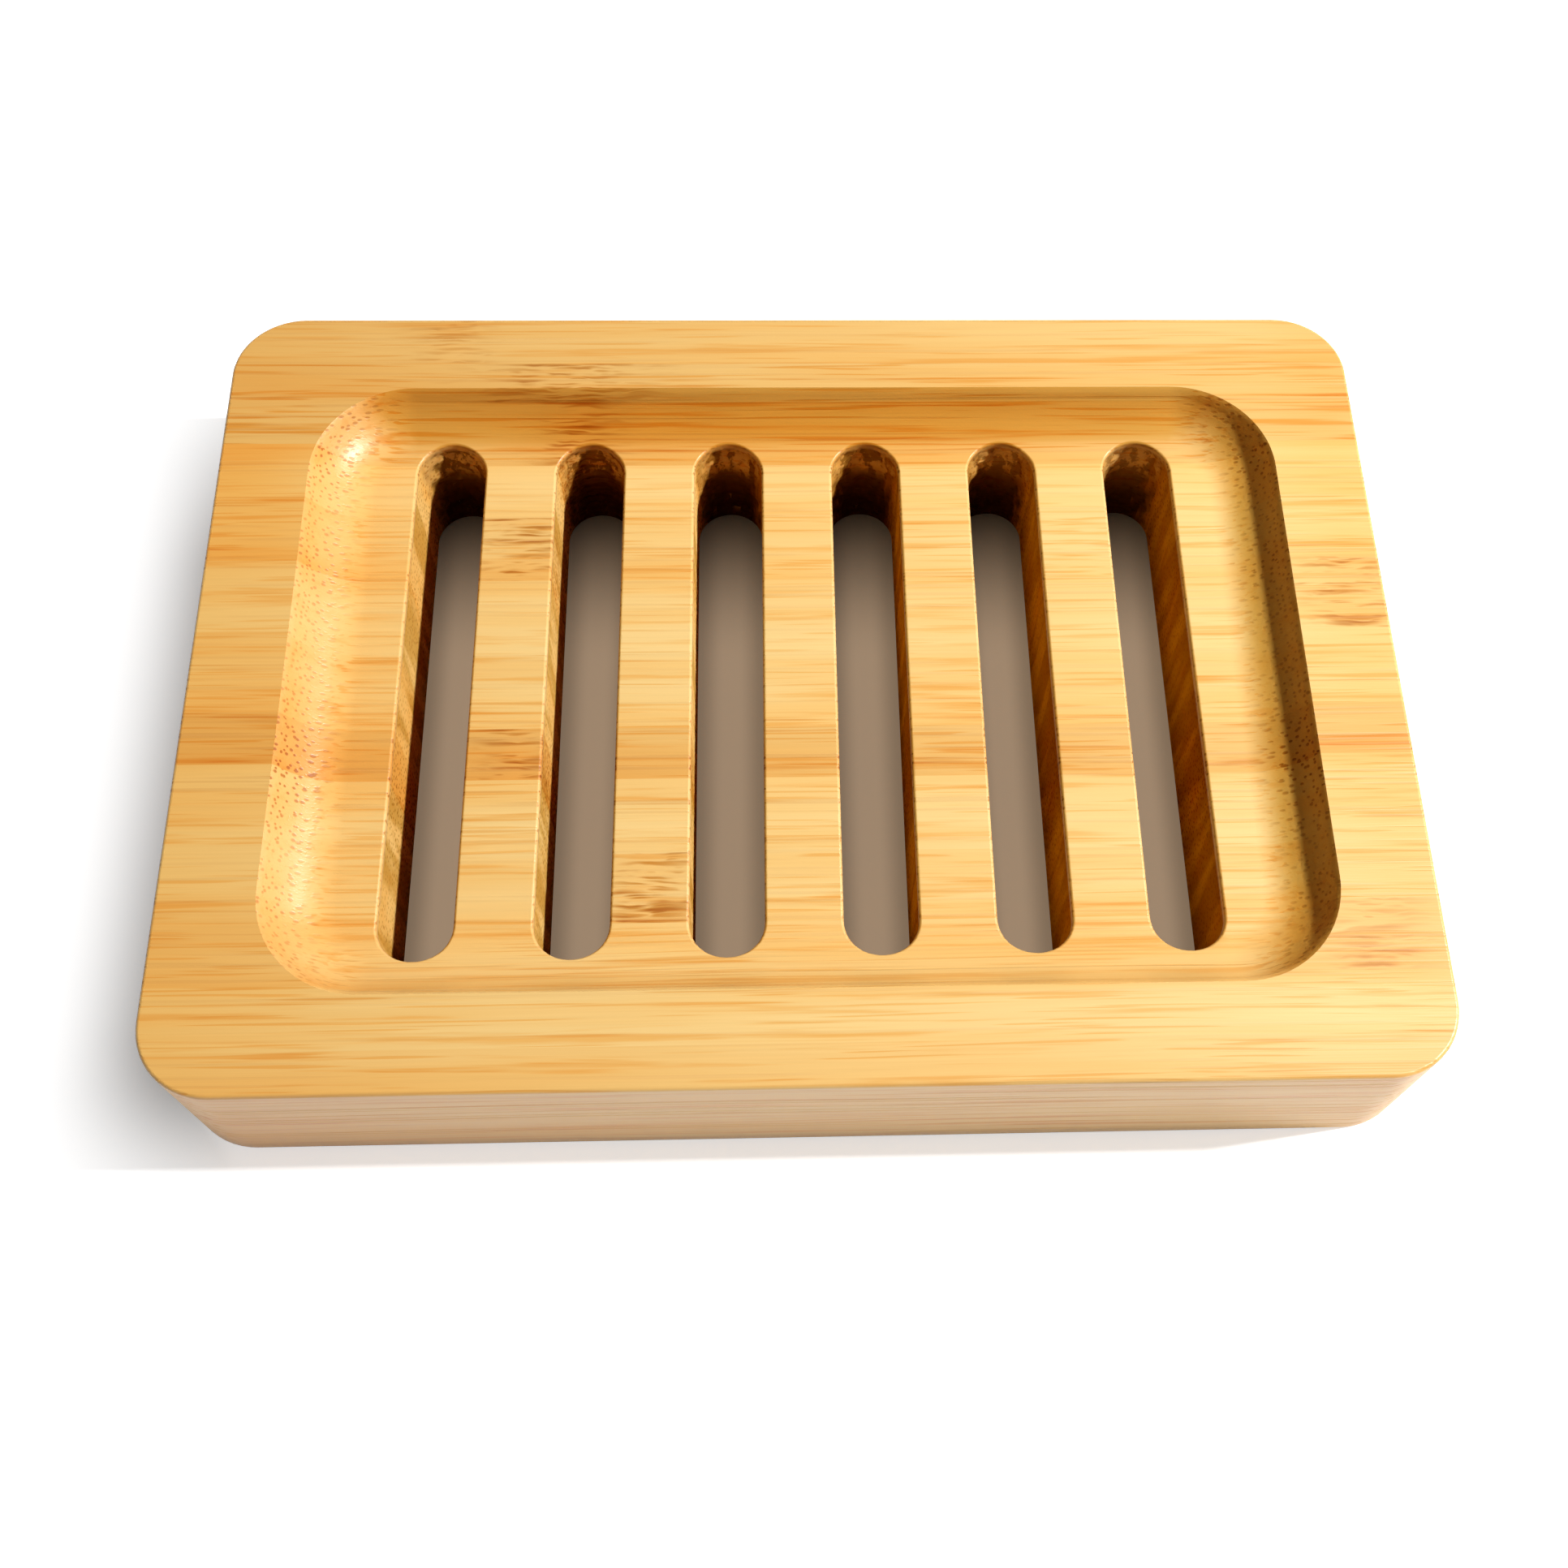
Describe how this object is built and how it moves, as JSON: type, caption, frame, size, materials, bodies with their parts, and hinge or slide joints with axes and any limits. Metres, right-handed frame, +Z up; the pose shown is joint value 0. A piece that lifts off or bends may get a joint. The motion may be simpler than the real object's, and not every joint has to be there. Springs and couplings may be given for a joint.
{
  "type": "soap dish",
  "caption": "Rounded bamboo soap dish glued up from upright strips, with a coved tray and long drain slots through its floor.",
  "frame": {"origin": "middle of the underside, on the surface that the dish stands on", "axes": "+X to the right along the strips and the grain, +Y to the back along the slots, +Z up"},
  "size_m": [0.12, 0.086, 0.018],
  "materials": {
    "pale_bamboo": "fine sanded and oiled, pale straw",
    "honey_bamboo": "fine sanded and oiled, honey",
    "gold_bamboo": "fine sanded and oiled, deep gold"
  },
  "bodies": {
    "root": {"back_edge_strip": "honey_bamboo", "back_rim_strip": "honey_bamboo", "back_cove_strip": "gold_bamboo", "strip_04_left_end": "gold_bamboo", "strip_04_bar_1": "gold_bamboo", "strip_04_bar_2": "gold_bamboo", "strip_04_bar_3": "gold_bamboo", "strip_04_bar_4": "gold_bamboo", "strip_04_bar_5": "gold_bamboo", "strip_04_right_end": "gold_bamboo", "strip_05_left_end": "gold_bamboo", "strip_05_bar_1": "gold_bamboo", "strip_05_bar_2": "gold_bamboo", "strip_05_bar_3": "gold_bamboo", "strip_05_bar_4": "gold_bamboo", "strip_05_bar_5": "gold_bamboo", "strip_05_right_end": "gold_bamboo", "strip_06_left_end": "honey_bamboo", "strip_06_bar_1": "honey_bamboo", "strip_06_bar_2": "honey_bamboo", "strip_06_bar_3": "honey_bamboo", "strip_06_bar_4": "honey_bamboo", "strip_06_bar_5": "honey_bamboo", "strip_06_right_end": "honey_bamboo", "strip_07_left_end": "honey_bamboo", "strip_07_bar_1": "honey_bamboo", "strip_07_bar_2": "honey_bamboo", "strip_07_bar_3": "honey_bamboo", "strip_07_bar_4": "honey_bamboo", "strip_07_bar_5": "honey_bamboo", "strip_07_right_end": "honey_bamboo", "strip_08_left_end": "gold_bamboo", "strip_08_bar_1": "gold_bamboo", "strip_08_bar_2": "gold_bamboo", "strip_08_bar_3": "gold_bamboo", "strip_08_bar_4": "gold_bamboo", "strip_08_bar_5": "gold_bamboo", "strip_08_right_end": "gold_bamboo", "strip_09_left_end": "pale_bamboo", "strip_09_bar_1": "pale_bamboo", "strip_09_bar_2": "pale_bamboo", "strip_09_bar_3": "pale_bamboo", "strip_09_bar_4": "pale_bamboo", "strip_09_bar_5": "pale_bamboo", "strip_09_right_end": "pale_bamboo", "strip_10_left_end": "honey_bamboo", "strip_10_bar_1": "honey_bamboo", "strip_10_bar_2": "honey_bamboo", "strip_10_bar_3": "honey_bamboo", "strip_10_bar_4": "honey_bamboo", "strip_10_bar_5": "honey_bamboo", "strip_10_right_end": "honey_bamboo", "front_cove_strip": "honey_bamboo", "front_rim_strip": "pale_bamboo", "front_edge_strip": "pale_bamboo"}
  },
  "joints": []
}
